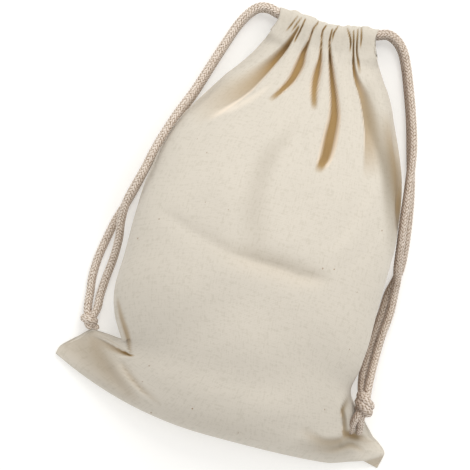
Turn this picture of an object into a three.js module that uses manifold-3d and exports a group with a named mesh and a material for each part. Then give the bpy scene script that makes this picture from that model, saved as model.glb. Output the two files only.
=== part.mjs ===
// A cotton drawstring bag, softly filled out, lying on its back with its mouth drawn shut.
// Lengths are millimetres. X runs across the bag, Y from the bottom fold to the mouth, and Z up
// from the surface that the bag lies on.
import * as THREE from "three";
import { mergeVertices } from "three/addons/utils/BufferGeometryUtils.js";
import Module from "manifold-3d";

const wasm = await Module();
wasm.setup();

// Driving dimensions of the bag. It is longest at the casing's right-hand end, and BAG_LENGTH is
// its length along the middle.
const BAG_LENGTH = 303;
const FULL_LENGTH = 309;
const CLOTH = 1.2;
const CASING_WIDTH = 20;
const CASING_END_HEIGHT = 31.2;
const MOUTH_GAP = 10;
const NECK_SEAM = 16.5;
const SLIT_LENGTH = 27;
const BOTTOM_ROUNDING = 37;
const BOTTOM_FOLD_RISE = 11;
const CORNER_RISE = 2.5;
const SEAM_ALLOWANCE = 1.6;
const NARROWEST_HOLLOW = 0.15;

// How the cloth curves: how much of the underside lies flat, how soon the two layers part beside a
// seam on the outside and on the inside, and how deep the front may be pressed in at the casing.
const UNDERSIDE_SPREAD = 1.35;
const UNDERSIDE_CURVE = 0.8;
const LAYERS_PARTING = 0.4;
const HOLLOW_PARTING = 0.06;
const CASING_PRESS = 2;

// How the rows bow from the middle of the bag to its seams, as powers of the distance across.
const LEFT_CORNER_BOW = 2.1;
const RIGHT_CORNER_BOW = 3.5;
const LOWER_BOW = 4;
const UPPER_BOW = 2;
const CORNERS_END = 60;
const UPPER_BOW_START = 240;

// Driving dimensions of the two braided cords and their knots.
const CORD = 6;
const TUNNEL = 7.4;
const TUNNEL_BELOW_EDGE = 5.2;
const CORD_SIDES = 10;
const TUNNEL_SIDES = 12;
const CLEARANCE = 0.4;

// How finely the cloth is divided.
const COLUMNS = 40;
const BODY_ROWS = 22;
const FOLD_SAMPLES = 16;
const MEETING_DISTANCE = 1e-4;

// The bag from its bottom to its mouth, a row for each cross-section. "up" is where the section
// crosses the middle of the bag. The next four say where it meets the two side seams, "seam" is
// how high the seams lie, "crown" how high the front stands, and "shoulder" is the power of the
// curve between them: under 1 it rises steeply from the seam, over 1 it lies flat there first.
const SECTIONS = [
  { up: 0, left: -121.8, leftUp: 27.5, right: 120.2, rightUp: 8.5, seam: 2.5, crown: 54, shoulder: 2.4 },
  { up: 7, left: -114.8, leftUp: 39.1, right: 122, rightUp: 20.3, seam: 3.5, crown: 55, shoulder: 2.3 },
  { up: 22, left: -101.5, leftUp: 50.7, right: 110.8, rightUp: 28.4, seam: 5, crown: 57, shoulder: 2.2 },
  { up: 45, left: -85.5, leftUp: 50, right: 100.4, rightUp: 40.6, seam: 10, crown: 62, shoulder: 1.6 },
  { up: 65, left: -78.4, leftUp: 48.9, right: 87.3, rightUp: 55.5, seam: 17, crown: 69, shoulder: 1.1 },
  { up: 85, left: -87.5, leftUp: 65.4, right: 89.3, rightUp: 74, seam: 24, crown: 74, shoulder: 0.85 },
  { up: 105, left: -92.5, leftUp: 84, right: 90, rightUp: 95, seam: 28, crown: 78, shoulder: 0.78 },
  { up: 128, left: -94, leftUp: 108, right: 90, rightUp: 121, seam: 30, crown: 80, shoulder: 0.75 },
  { up: 150, left: -95, leftUp: 135, right: 90, rightUp: 146, seam: 30, crown: 79, shoulder: 0.75 },
  { up: 178, left: -92, leftUp: 166, right: 89, rightUp: 176, seam: 28, crown: 74, shoulder: 0.75 },
  { up: 211, left: -82, leftUp: 205, right: 83, rightUp: 209, seam: 25, crown: 64, shoulder: 0.75 },
  { up: 244, left: -61, leftUp: 242, right: 70, rightUp: 243, seam: 21, crown: 50, shoulder: 0.75 },
  { up: 262, left: -46, leftUp: 263, right: 59, rightUp: 263, seam: 18, crown: 41, shoulder: 0.7 },
  { up: 275, left: -37, leftUp: 277, right: 50, rightUp: 278, seam: 17, crown: 36, shoulder: 0.65 },
  { up: 283, left: -33, leftUp: 286, right: 44, rightUp: 288, seam: 16.5, crown: 34, shoulder: 0.55 },
  { up: 293, left: -30, leftUp: 296, right: 41, rightUp: 299, seam: 16.5, crown: 33, shoulder: 0.5 },
  { up: 303, left: -31, leftUp: 306, right: 40, rightUp: 309, seam: 16.5, crown: 33, shoulder: 0.5 },
];

// The main creases of the front, each a soft trough along a curve from one point of the bag's
// plan via another to a third, with its depth at the first and at the middle point.
const FOLDS = [
  { name: "left shoulder", from: [-14, 297], via: [-29, 266], to: [-74, 219], start: 3, depth: 7, width: 7 },
  { name: "left pleat", from: [-2, 303], via: [-9, 266], to: [-22, 237], start: 2, depth: 7, width: 6 },
  { name: "narrow pleat", from: [3, 303], via: [5, 266], to: [9, 238], start: 2, depth: 5, width: 5 },
  { name: "deep middle pleat", from: [8, 303], via: [16, 266], to: [26, 196], start: 2, depth: 9, width: 7 },
  { name: "right pleat", from: [23, 303], via: [30, 275], to: [50, 232], start: 3, depth: 5, width: 5 },
  { name: "right end pleat", from: [28, 303], via: [32, 284], to: [38, 268], start: 2, depth: 3, width: 4 },
  { name: "middle crease", from: [-80, 150], via: [-9, 128], to: [54, 127], start: 1, depth: 3, width: 9 },
  { name: "left corner fold", from: [-78, 37], via: [-60, 23], to: [-36, 12], start: 4, depth: 3, width: 7 },
  { name: "right corner fold", from: [82, 46], via: [87, 34], to: [101, 24], start: 3, depth: 4, width: 7 },
];

// The value of a table's column at a place along the bag, on a smooth curve through its rows.
function alongTable(table, column, up) {
  const last = table.length - 1;
  let row = 0;
  while (row < last - 1 && table[row + 1].up < up) row += 1;
  const slope = (i) => {
    const a = table[Math.max(i - 1, 0)];
    const b = table[Math.min(i + 1, last)];
    return (b[column] - a[column]) / (b.up - a.up);
  };
  const span = table[row + 1].up - table[row].up;
  const t = THREE.MathUtils.clamp((up - table[row].up) / span, 0, 1);
  const rise = table[row + 1][column] - table[row][column];
  const s0 = slope(row) * span;
  const s1 = slope(row + 1) * span;
  return table[row][column] + s0 * t + (3 * rise - 2 * s0 - s1) * t * t + (s0 + s1 - 2 * rise) * t ** 3;
}

const foldPaths = FOLDS.map((fold) => {
  const stops = [fold.from, fold.via, fold.to].map((p) => new THREE.Vector2(...p));
  return new THREE.SplineCurve(stops).getPoints(FOLD_SAMPLES);
});

// How far a point of the plan lies from a path, and how much of the path comes before that place.
function nearestOnPath(path, x, y) {
  let distance = Infinity;
  let share = 0;
  path.slice(1).forEach((b, i) => {
    const a = path[i];
    const dx = b.x - a.x;
    const dy = b.y - a.y;
    const t = THREE.MathUtils.clamp(((x - a.x) * dx + (y - a.y) * dy) / (dx * dx + dy * dy), 0, 1);
    const here = Math.hypot(x - a.x - t * dx, y - a.y - t * dy);
    if (here < distance) {
      distance = here;
      share = (i + t) / FOLD_SAMPLES;
    }
  });
  return { distance, share };
}

// How deep the folds press the front in at a point of the plan: each is a bell curve across its
// path, which deepens as far as the path's middle and then runs out towards its end.
function foldDepth(x, y) {
  return FOLDS.reduce((depth, fold, index) => {
    const { distance, share } = nearestOnPath(foldPaths[index], x, y);
    const swell = THREE.MathUtils.lerp(fold.start, fold.depth, Math.min(1, share * 2) ** 2);
    const fade = 1 - THREE.MathUtils.smoothstep(share, 0.55, 1);
    return depth + swell * fade * Math.exp(-((distance / fold.width) ** 2));
  }, 0);
}

// The casing's own fine gathers, which start a little below it.
const GATHER_PITCH = 6.5;
const GATHER_DEPTH = 1.6;
const GATHER_START = 39;

function gatherDepth(x, up) {
  const inCasing = THREE.MathUtils.smoothstep(up, BAG_LENGTH - GATHER_START, BAG_LENGTH - CASING_WIDTH);
  return GATHER_DEPTH * inCasing * (0.5 - 0.5 * Math.cos((2 * Math.PI * x) / GATHER_PITCH));
}

// A point of the cloth is found from "across", -1 at the left seam and 1 at the right seam, and
// "row", 0 at the bottom fold and 1 at the casing's edge. The rows crowd together at the bottom,
// so that the cloth turns round there in a quarter of an ellipse.
const ROUNDED_SHARE = BOTTOM_ROUNDING / BAG_LENGTH;
const ROUNDED_ROWS = 1 / (1 + (2 * (1 - ROUNDED_SHARE)) / (Math.PI * ROUNDED_SHARE));

function rowHeight(row) {
  if (row < ROUNDED_ROWS) return BOTTOM_ROUNDING * (1 - Math.cos((Math.PI * row) / (2 * ROUNDED_ROWS)));
  return THREE.MathUtils.mapLinear(row, ROUNDED_ROWS, 1, BOTTOM_ROUNDING, BAG_LENGTH);
}

function rowAt(up) {
  return THREE.MathUtils.mapLinear(up, BOTTOM_ROUNDING, BAG_LENGTH, ROUNDED_ROWS, 1);
}

// How far the cloth has turned up from the bottom fold, from 0 to 1.
function turnedUp(row) {
  return row < ROUNDED_ROWS ? Math.sin((Math.PI * row) / (2 * ROUNDED_ROWS)) : 1;
}

// The height of a half circle over the bag's width, which is 0 at the seams and 1 in the middle.
function roundness(across) {
  return Math.sqrt(Math.max(0, 1 - across * across));
}

// Where the point lies in the plan. A row is level in the middle and bends to meet its seams.
function plan(across, row) {
  const up = rowHeight(row);
  const left = alongTable(SECTIONS, "left", up);
  const right = alongTable(SECTIONS, "right", up);
  const x = THREE.MathUtils.lerp(left, right, (1 + across) / 2);
  const lift = alongTable(SECTIONS, across < 0 ? "leftUp" : "rightUp", up) - up;
  const cornerBow = Math.abs(across) ** (across < 0 ? LEFT_CORNER_BOW : RIGHT_CORNER_BOW);
  const upperShare = THREE.MathUtils.smoothstep(up, CORNERS_END, UPPER_BOW_START);
  const bow = Math.abs(across) ** THREE.MathUtils.lerp(LOWER_BOW, UPPER_BOW, upperShare);
  const share = THREE.MathUtils.lerp(cornerBow, bow, THREE.MathUtils.smoothstep(up, 0, CORNERS_END));
  return { x, y: up + lift * share, up };
}

// How far the casing's front and back have parted at the side slits, from 0 to 1.
function parting(up) {
  return THREE.MathUtils.smoothstep(up, BAG_LENGTH - SLIT_LENGTH, BAG_LENGTH - CASING_WIDTH);
}

// The heights of the outer faces of the front and the back at a point.
function heights(across, row) {
  const { x, y, up } = plan(across, row);
  const seam = alongTable(SECTIONS, "seam", up);
  const crown = alongTable(SECTIONS, "crown", up);
  const shoulder = alongTable(SECTIONS, "shoulder", up);
  const round = roundness(across);
  const turned = turnedUp(row);
  const apart = parting(up);
  const foldLine = CORNER_RISE + BOTTOM_FOLD_RISE * round * round;
  const layer = CLOTH * round ** LAYERS_PARTING * Math.min(1, turned * 2) * (1 - apart);
  const lowFront = THREE.MathUtils.lerp(seam, CASING_END_HEIGHT, apart);
  const lowBack = THREE.MathUtils.lerp(seam, 0, apart);
  const deepest = THREE.MathUtils.lerp(crown, CASING_PRESS, apart);
  const press = Math.min(foldDepth(x, y) + gatherDepth(x, up), deepest) * Math.sqrt(round);
  const front = lowFront + (crown - lowFront) * round ** shoulder - press;
  const back = lowBack * (1 - UNDERSIDE_SPREAD * round ** UNDERSIDE_CURVE);
  return {
    front: THREE.MathUtils.lerp(foldLine, front, turned) + layer,
    back: Math.max(0, THREE.MathUtils.lerp(foldLine, Math.max(0, back), turned) - layer),
    middle: seam,
  };
}

function outerPoint(isFront, across, row) {
  const { x, y } = plan(across, row);
  const { front, back } = heights(across, row);
  return new THREE.Vector3(x, y, isFront ? front : back);
}

// The inner face: the plan drawn in by the seam allowance, and the hollow's height less the cloth.
// In the casing it lies flat beside the mouth, so that the tunnel has cloth all round it.
const HALF_WIDTH = 95;
const FIRST_INNER_ROW = 0.035;

function innerPoint(isFront, across, row) {
  const inAcross = across * (1 - SEAM_ALLOWANCE / HALF_WIDTH);
  const inRow = row + FIRST_INNER_ROW * (1 - row) ** 3;
  const { x, y } = plan(inAcross, inRow);
  const { front, back, middle } = heights(inAcross, inRow);
  const height = Math.max((front - back) / 2 - CLOTH, NARROWEST_HOLLOW);
  const hollow = height * (roundness(across) * turnedUp(row)) ** HOLLOW_PARTING;
  const sign = isFront ? 1 : -1;
  const inBag = (front + back) / 2 + sign * hollow;
  const inCasing = middle + (sign * MOUTH_GAP) / 2;
  return new THREE.Vector3(x, y, THREE.MathUtils.lerp(inBag, inCasing, parting(rowHeight(row))));
}

// A grid of points as triangles, seen from the side that "flipped" says.
function grid(points, columns, rows, flipped) {
  const triangles = [];
  const add = (a, b, c) => triangles.push(...(flipped ? [a, c, b] : [a, b, c]));
  for (let j = 0; j < rows; j += 1) {
    for (let i = 0; i < columns; i += 1) {
      const [a, b] = [points[j][i], points[j][i + 1]];
      const [d, c] = [points[j + 1][i], points[j + 1][i + 1]];
      add(a, b, c);
      add(a, c, d);
    }
  }
  return triangles;
}

function toSolid(geometry) {
  const plain = geometry.clone();
  plain.deleteAttribute("normal");
  plain.deleteAttribute("uv");
  const merged = mergeVertices(plain, MEETING_DISTANCE);
  return new wasm.Manifold(
    new wasm.Mesh({
      numProp: 3,
      vertProperties: merged.attributes.position.array,
      triVerts: new Uint32Array(merged.index.array),
    }),
  );
}

function fromSolid(solid) {
  const mesh = solid.getMesh();
  const geometry = new THREE.BufferGeometry();
  geometry.setAttribute("position", new THREE.BufferAttribute(new Float32Array(mesh.vertProperties), 3));
  geometry.setIndex(Array.from(mesh.triVerts));
  return geometry;
}

// A cord of round section along a smooth curve through a route's points. Its steps follow the
// route's own spacing, so that they are short where the points are close.
class Route extends THREE.CatmullRomCurve3 {
  getUtoTmapping(u) {
    return u;
  }
}

function cordAlong(points, steps, diameter = CORD, sides = CORD_SIDES) {
  const route = new Route(points.map((p) => new THREE.Vector3(...p)), false, "centripetal");
  const section = new THREE.Shape();
  for (let i = 0; i < sides; i += 1) {
    const angle = (2 * Math.PI * i) / sides;
    const place = [(diameter / 2) * Math.cos(angle), (diameter / 2) * Math.sin(angle)];
    if (i === 0) section.moveTo(...place);
    else section.lineTo(...place);
  }
  return new THREE.ExtrudeGeometry(section, { steps, extrudePath: route, curveSegments: 1 });
}

// The bag's body: the outer and the inner face of the front and of the back, joined at the
// casing's edge and along the side slits. Below the slits the front and back share their seams.
function bagShell() {
  const slitRow = rowAt(BAG_LENGTH - SLIT_LENGTH);
  const rows = [];
  for (let j = 0; j <= BODY_ROWS; j += 1) rows.push((slitRow * j) / BODY_ROWS);
  const belowEdge = [(SLIT_LENGTH + CASING_WIDTH) / 2, CASING_WIDTH, CASING_WIDTH / 2, 0];
  rows.push(...belowEdge.map((distance) => rowAt(BAG_LENGTH - distance)));
  const columns = [];
  for (let i = 0; i <= COLUMNS; i += 1) {
    const share = (2 * i - COLUMNS) / COLUMNS;
    columns.push((share + Math.sin((Math.PI * share) / 2)) / 2);
  }
  const last = rows.length - 1;
  const triangles = [];
  for (const isFront of [true, false]) {
    const outer = rows.map((row) => columns.map((across) => outerPoint(isFront, across, row)));
    const inner = rows.map((row) => columns.map((across) => innerPoint(isFront, across, row)));
    triangles.push(...grid(outer, COLUMNS, last, !isFront));
    triangles.push(...grid(inner, COLUMNS, last, isFront));
    triangles.push(...grid([outer[last], inner[last]], COLUMNS, 1, !isFront));
    for (const column of [0, COLUMNS]) {
      const edges = [outer, inner].map((face) => face.slice(BODY_ROWS).map((points) => points[column]));
      triangles.push(...grid(edges, last - BODY_ROWS, 1, isFront !== (column === 0)));
    }
  }
  return new THREE.BufferGeometry().setFromPoints(triangles);
}

// The tunnels in the casing's front and back, and the cords that run through them. Each route goes
// from the left knot, up the left side, through the tunnel and down the right side.
function tunnelPoint(isFront, across) {
  const { x, y } = plan(across, 1);
  const sign = isFront ? 1 : -1;
  const z = NECK_SEAM + sign * (MOUTH_GAP / 2 + CLOTH + TUNNEL / 2);
  return [x, y - TUNNEL_BELOW_EDGE, z];
}

const TUNNEL_STOPS = [-1, -0.5, 0, 0.5, 1];
const TUNNEL_OVERRUN = 1.3;

const FRONT_LEFT = [
  [-101.4, 66.4, 8.2],
  [-101.8, 76, 4.8],
  [-101, 89, 5.5],
  [-99.4, 103, 10.5],
  [-99, 118, 18],
  [-100.4, 131, 26],
  [-100, 144, 33],
  [-97, 157, 38],
  [-93.5, 170, 40],
  [-90.5, 184, 40],
  [-86, 200, 38.5],
  [-81, 215, 36],
  [-74.6, 231.5, 31.5],
  [-68.5, 250.5, 28],
  [-62.5, 269, 26],
  [-56.5, 286, 25.2],
  [-51.5, 295, 25.4],
  [-46, 300.8, 25.8],
  [-39, 302.5, 26.2],
];

const FRONT_RIGHT = [
  [47.5, 306, 26.2],
  [54.5, 303.5, 25.8],
  [60.5, 297.5, 25.4],
  [65.5, 288, 25.4],
  [71.8, 272, 26.6],
  [78.8, 252, 29.2],
  [84.6, 231.7, 32.5],
  [88.4, 205, 36],
  [90.6, 186, 36],
  [93.8, 164, 31],
  [96.3, 149, 22],
  [98.4, 141, 15.5],
  [99.3, 131, 10.5],
  [100, 117, 9.6],
  [98.4, 99, 9.8],
  [98, 84.7, 11.4],
  [97.8, 72.5, 17],
  [98.1, 61.5, 22.6],
];

const BACK_LEFT = [
  [-108.2, 66, 5.8],
  [-109.2, 75, 3.6],
  [-110.6, 87, 3.3],
  [-110.2, 101, 3.3],
  [-108, 115, 3.3],
  [-105, 130, 3.3],
  [-101, 143, 3.3],
  [-97.5, 156, 3.3],
  [-94.5, 169, 3.3],
  [-91, 183, 3.3],
  [-86, 200, 3.3],
  [-81, 214, 3.3],
  [-74.6, 230.5, 3.3],
  [-68.5, 250, 3.3],
  [-62.5, 269, 3.3],
  [-56.5, 286, 3.6],
  [-51.5, 295, 4.6],
  [-46, 300.8, 5.8],
  [-39, 302.5, 6.6],
];

const BACK_RIGHT = [
  [47.5, 306, 6.6],
  [54.5, 303.5, 5.8],
  [60.5, 297.5, 4.6],
  [65.5, 288, 3.6],
  [71.8, 272, 3.3],
  [78.8, 252, 3.3],
  [84.6, 231.7, 3.3],
  [91.6, 206, 3.3],
  [95.4, 187, 3.3],
  [98.6, 164, 3.3],
  [99.4, 149, 3.3],
  [98, 140, 3.3],
  [95.6, 130, 3.3],
  [94.9, 117, 3.3],
  [93.6, 100, 3.3],
  [92.8, 84, 5.2],
  [92.4, 71.5, 11.6],
  [93.9, 61, 17.4],
];

// Each knot is a core with the cord's wraps round it, the first few millimetres of the strands
// that enter it, and the short ends that leave it for the side seam.
const KNOTS = [
  {
    name: "knot_left",
    centre: [-104.8, 57, 8.2],
    lean: 0.25,
    wraps: [2.2, -2.4],
    tails: [[[-104.8, 56.6, 8], [-99.6, 55.6, 7], [-95.8, 54.9, 6.4]]],
  },
  {
    name: "knot_right",
    centre: [98.6, 49.6, 25.2],
    lean: -0.35,
    wraps: [3.6, 0, -3.6],
    tails: [
      [[97, 47, 25.4], [95, 41, 26.2], [94.4, 34.5, 24.3]],
      [[100, 46.5, 24.5], [100, 40, 21.2], [100.6, 33.4, 18.2]],
    ],
  },
];
const KNOT_CORE = 4.4;
const KNOT_CORE_LENGTH = 6.2;
const WRAP_RADIUS = 4.3;
const WRAP_THICKNESS = 2.7;

function cordRoute(isFront) {
  const middle = TUNNEL_STOPS.map((across) => tunnelPoint(isFront, across));
  if (isFront) return [...FRONT_LEFT, ...middle, ...FRONT_RIGHT];
  return [...BACK_LEFT, ...middle, ...BACK_RIGHT];
}

function knotSolid(knot, strandEnds) {
  const centre = new THREE.Vector3(...knot.centre);
  const core = new THREE.CapsuleGeometry(KNOT_CORE, KNOT_CORE_LENGTH, 4, 12);
  core.translate(...knot.centre);
  let solid = toSolid(core);
  knot.wraps.forEach((along, i) => {
    const wrap = new THREE.TorusGeometry(WRAP_RADIUS, WRAP_THICKNESS, 8, 16);
    wrap.rotateX(Math.PI / 2);
    wrap.rotateZ(knot.lean * (i % 2 ? -1 : 1));
    wrap.translate(centre.x, centre.y + along, centre.z);
    solid = solid.add(toSolid(wrap));
  });
  strandEnds.forEach(({ end, before }) => {
    const tip = new THREE.Vector3(...end);
    const onward = tip.clone().sub(new THREE.Vector3(...before)).normalize();
    const stop = tip.clone().addScaledVector(onward, CLEARANCE);
    const bend = tip.clone().addScaledVector(onward, CORD / 2);
    const stub = cordAlong([knot.centre, bend.toArray(), stop.toArray()], 2);
    solid = solid.add(toSolid(stub));
  });
  knot.tails.forEach((tail) => {
    solid = solid.add(toSolid(cordAlong(tail, 4)));
  });
  return solid;
}

let bodySolid = toSolid(bagShell());
for (const isFront of [true, false]) {
  const places = [-TUNNEL_OVERRUN, ...TUNNEL_STOPS, TUNNEL_OVERRUN];
  const stops = places.map((across) => tunnelPoint(isFront, across));
  const tunnel = cordAlong(stops, 2 * (stops.length - 1), TUNNEL, TUNNEL_SIDES);
  bodySolid = bodySolid.subtract(toSolid(tunnel));
}

const cotton = new THREE.MeshStandardMaterial({ color: "#e6ddcd", roughness: 0.95, metalness: 0 });
const braid = new THREE.MeshStandardMaterial({ color: "#dccdbb", roughness: 0.9, metalness: 0 });

function piece(name, geometry, material) {
  const mesh = new THREE.Mesh(geometry, material);
  mesh.name = name;
  return mesh;
}

const bag = new THREE.Group();
bag.add(piece("bag_body", fromSolid(bodySolid), cotton));
for (const [name, isFront] of [["cord_front", true], ["cord_back", false]]) {
  const route = cordRoute(isFront);
  bag.add(piece(name, cordAlong(route, route.length - 1), braid));
}
for (const knot of KNOTS) {
  const [end, before] = knot.name === "knot_left" ? [0, 1] : [-1, -2];
  const strandEnds = [true, false].map((isFront) => {
    const route = cordRoute(isFront);
    return { end: route.at(end), before: route.at(before) };
  });
  bag.add(piece(knot.name, fromSolid(knotSolid(knot, strandEnds)), braid));
}
bag.position.set(0, -FULL_LENGTH / 2, 0);

export default bag;
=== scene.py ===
import math

import bpy
import numpy as np
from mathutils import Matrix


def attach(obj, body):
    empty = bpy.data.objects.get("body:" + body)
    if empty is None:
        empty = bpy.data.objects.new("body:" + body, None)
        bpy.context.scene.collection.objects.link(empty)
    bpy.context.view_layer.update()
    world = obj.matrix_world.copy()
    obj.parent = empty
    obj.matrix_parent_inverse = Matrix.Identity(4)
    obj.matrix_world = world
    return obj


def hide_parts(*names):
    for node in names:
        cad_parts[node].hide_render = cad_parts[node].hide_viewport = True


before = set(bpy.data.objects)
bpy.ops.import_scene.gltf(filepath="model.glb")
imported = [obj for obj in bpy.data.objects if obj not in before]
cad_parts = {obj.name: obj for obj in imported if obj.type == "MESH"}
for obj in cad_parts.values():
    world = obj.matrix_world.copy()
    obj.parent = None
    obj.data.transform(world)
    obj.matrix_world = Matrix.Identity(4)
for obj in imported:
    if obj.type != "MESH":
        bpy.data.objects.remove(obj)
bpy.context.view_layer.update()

# The studio: a pale floor, a wide soft light overhead with a smaller one beyond the bag's mouth, and
# a camera that looks straight down on the bag, turned 15 degrees, from so far that the scale is
# even. Lengths are metres here.
CAMERA_HEIGHT = 2.2
FIELD_WIDTH = 0.3314
FIELD_LEVEL = 0.02
FIELD_CENTRE = (-0.0204, -0.0128)
CAMERA_TURN = math.radians(15)
SENSOR_WIDTH = 36.0

camera_data = bpy.data.cameras.new("camera")
camera_data.sensor_width = SENSOR_WIDTH
camera_data.lens = SENSOR_WIDTH * (CAMERA_HEIGHT - FIELD_LEVEL) / FIELD_WIDTH
camera = bpy.data.objects.new("camera", camera_data)
camera.location = (*FIELD_CENTRE, CAMERA_HEIGHT)
camera.rotation_euler = (0, 0, CAMERA_TURN)
bpy.context.collection.objects.link(camera)
bpy.context.scene.camera = camera


def linear(colour):
    """The linear colour, with alpha, of an sRGB hex value such as "e8e0d2"."""
    parts = [int(colour[i:i + 2], 16) / 255 for i in (0, 2, 4)]
    return [c / 12.92 if c <= 0.04045 else ((c + 0.055) / 1.055) ** 2.4 for c in parts] + [1.0]


def node(tree, kind, settings=None, inputs=None, links=None):
    """Adds a shader node, sets its properties and input values, and links its inputs to other
    sockets. A node given as a link stands for its first output."""
    made = tree.nodes.new("ShaderNode" + kind)
    for name, value in (settings or {}).items():
        setattr(made, name, value)
    for name, value in (inputs or {}).items():
        made.inputs[name].default_value = value
    for name, source in (links or {}).items():
        tree.links.new(getattr(source, "outputs", [source])[0], made.inputs[name])
    return made


def material(name, values):
    """A new material with those values on its shader's sockets, its node tree and its shader."""
    made = bpy.data.materials.new(name)
    made.use_nodes = True
    shader = made.node_tree.nodes["Principled BSDF"]
    for socket, value in values.items():
        shader.inputs[socket].default_value = value
    return made, made.node_tree, shader


def soft_light(name, size, power, place, colour):
    """A square area light of that size and power at a place, turned to face the floor's middle."""
    light = bpy.data.lights.new(name, "AREA")
    light.size = size
    light.energy = power
    light.color = linear(colour)[:3]
    lamp = bpy.data.objects.new(name, light)
    x, y, z = place
    lamp.location = place
    lamp.rotation_euler = (math.atan2(math.hypot(x, y), z), 0, math.atan2(x, -y))
    bpy.context.collection.objects.link(lamp)


soft_light("softbox_beyond_the_mouth", size=1.0, power=12, place=(0.15, 1.2, 1.25), colour="fffdf8")
soft_light("overhead", size=2.4, power=16, place=(0.3, 0.3, 2.6), colour="fffefc")
bpy.context.scene.view_settings.view_transform = "Standard"

world = bpy.data.worlds.new("studio")
world.use_nodes = True
background = world.node_tree.nodes["Background"]
background.inputs["Color"].default_value = linear("fbfaf8")
background.inputs["Strength"].default_value = 0.68
bpy.context.scene.world = world

FLOOR_HALF_WIDTH = 4.0
FLOOR_DROP = 0.0003
floor_mesh = bpy.data.meshes.new("floor")
floor_corners = [(x * FLOOR_HALF_WIDTH, y * FLOOR_HALF_WIDTH, -FLOOR_DROP)
                 for x, y in [(-1, -1), (1, -1), (1, 1), (-1, 1)]]
floor_mesh.from_pydata(floor_corners, [], [(0, 1, 2, 3)])
floor = bpy.data.objects.new("floor", floor_mesh)
bpy.context.collection.objects.link(floor)
# Matt white paper, which glows a little, so that it stays near white beside the bag.
paper, _, _ = material("matt_white_paper", {
    "Base Color": linear("dededd"), "Emission Color": linear("fffefc"), "Emission Strength": 0.34,
    "Roughness": 0.9})
floor_mesh.materials.append(paper)

# The two drawcords: braided cotton cord, 6 mm thick, each threaded through one side of the casing.
# They leave it at both ends and run down the bag's sides to the knots at its bottom corners.
# Lengths are millimetres from here on, with Y counted from the bottom fold's lowest point.
MM = 0.001
BAG_LENGTH = 309.0
CORD_DIAMETER = 6.0
CORD_LEVEL_IN_CASING = (26.4, 6.6)
CORD_BELOW_EDGE = 5.2
CASING_ENDS = (-31.0, 40.0)
CASING_TOP = 303.0
CASING_END_RISE = (3.0, 6.0)
CASING_STOPS = 5
FINE_STEPS = 24

FRONT_LEFT = [
    [-101.4, 66.4, 8.2], [-101.8, 76, 4.8], [-101, 89, 5.5], [-99.4, 103, 10.5], [-99, 118, 18],
    [-100.4, 131, 26], [-100, 144, 33], [-97, 157, 38], [-93.5, 170, 40], [-90.5, 184, 40],
    [-86, 200, 38.5], [-81, 215, 36], [-74.6, 231.5, 31.5], [-68.5, 250.5, 28], [-62.5, 269, 26],
    [-56.5, 286, 25.2], [-51.5, 295, 25.4], [-46, 300.8, 25.8], [-39, 302.5, 26.2],
]
FRONT_RIGHT = [
    [47.5, 306, 26.2], [54.5, 303.5, 25.8], [60.5, 297.5, 25.4], [65.5, 288, 25.4], [71.8, 272, 26.6],
    [78.8, 252, 29.2], [84.6, 231.7, 32.5], [88.4, 205, 36], [90.6, 186, 36], [93.8, 164, 31],
    [96.3, 149, 22], [98.4, 141, 15.5], [99.3, 131, 10.5], [100, 117, 9.6], [98.4, 99, 9.8],
    [98, 84.7, 11.4], [97.8, 72.5, 17], [98.1, 61.5, 22.6],
]
BACK_LEFT = [
    [-108.2, 66, 5.8], [-109.2, 75, 3.6], [-110.6, 87, 3.3], [-110.2, 101, 3.3], [-108, 115, 3.3],
    [-105, 130, 3.3], [-101, 143, 3.3], [-97.5, 156, 3.3], [-94.5, 169, 3.3], [-91, 183, 3.3],
    [-86, 200, 3.3], [-81, 214, 3.3], [-74.6, 230.5, 3.3], [-68.5, 250, 3.3], [-62.5, 269, 3.3],
    [-56.5, 286, 3.6], [-51.5, 295, 4.6], [-46, 300.8, 5.8], [-39, 302.5, 6.6],
]
BACK_RIGHT = [
    [47.5, 306, 6.6], [54.5, 303.5, 5.8], [60.5, 297.5, 4.6], [65.5, 288, 3.6], [71.8, 272, 3.3],
    [78.8, 252, 3.3], [84.6, 231.7, 3.3], [91.6, 206, 3.3], [95.4, 187, 3.3], [98.6, 164, 3.3],
    [99.4, 149, 3.3], [98, 140, 3.3], [95.6, 130, 3.3], [94.9, 117, 3.3], [93.6, 100, 3.3],
    [92.8, 84, 5.2], [92.4, 71.5, 11.6], [93.9, 61, 17.4],
]


def ease(value, start, end):
    """0 before the start, 1 after the end, and a smooth step between."""
    t = np.clip((value - start) / (end - start), 0, 1)
    return t * t * (3 - 2 * t)


def casing_stops(level):
    """Stops of a cord inside the casing, whose ends rise with the square of the distance."""
    across = np.linspace(-1, 1, CASING_STOPS)
    x = CASING_ENDS[0] + (CASING_ENDS[1] - CASING_ENDS[0]) * (1 + across) / 2
    rise = np.where(across < 0, *CASING_END_RISE) * across ** 2
    return np.stack([x, CASING_TOP - CORD_BELOW_EDGE + rise, np.full(CASING_STOPS, level)], axis=1)


def cubic(first, last, start, end, t):
    """The cubic from the first value to the last, with those slopes at its start and its end."""
    rise = last - first
    return first + start * t + (3 * rise - 2 * start - end) * t ** 2 + (start + end - 2 * rise) * t ** 3


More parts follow.
